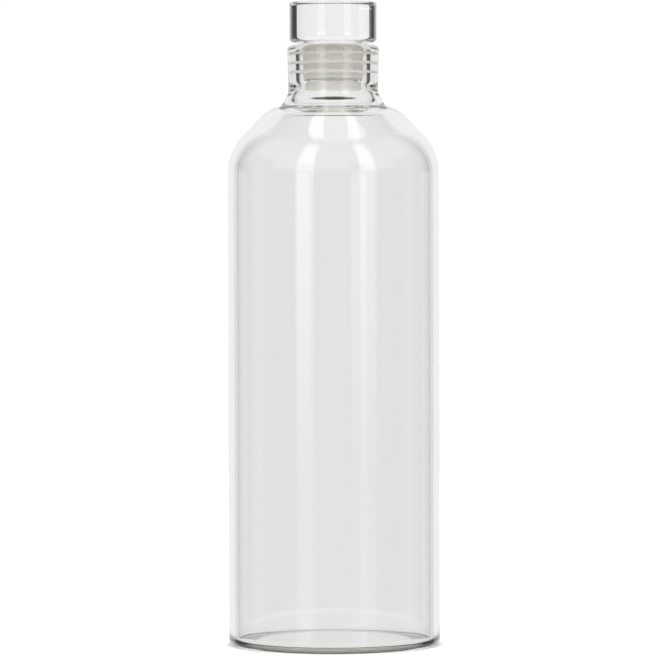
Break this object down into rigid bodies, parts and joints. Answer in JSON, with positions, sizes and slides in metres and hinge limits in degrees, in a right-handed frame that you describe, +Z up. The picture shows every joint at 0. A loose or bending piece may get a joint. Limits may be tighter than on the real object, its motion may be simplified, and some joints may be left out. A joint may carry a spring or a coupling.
{
  "type": "water bottle",
  "caption": "Straight-sided clear glass water bottle with a rounded shoulder and a short thick neck, closed by a clear knob on a finned silicone plug.",
  "frame": {"origin": "centre of the base, on the plane that the bottle stands on", "axes": "+Z up along the bottle's axis, from the base to the knob; the bottle is round, so +X is any direction across it"},
  "size_m": [0.088, 0.088, 0.2676],
  "materials": {
    "bottle_glass": "clear, fire-polished, with a faint green cast through its thick edges",
    "knob_glass": "clear, solid, polished",
    "silicone": "translucent grey-beige silicone with a soft satin face"
  },
  "bodies": {
    "bottle": {"bottle_body": "bottle_glass"},
    "plug": {"seal_sleeve": "silicone"},
    "knob": {"stopper_knob": "knob_glass", "stem_cap": "silicone"}
  },
  "joints": [
    {"name": "stopper_lift", "type": "slide", "parent": "bottle", "child": "plug", "axis": [0, 0, 1], "range_m": [0, 0.08]},
    {"name": "knob_turn", "type": "hinge", "parent": "plug", "child": "knob", "pos_m": [0, 0, 0.25], "axis": [0, 0, 1], "continuous": true}
  ]
}
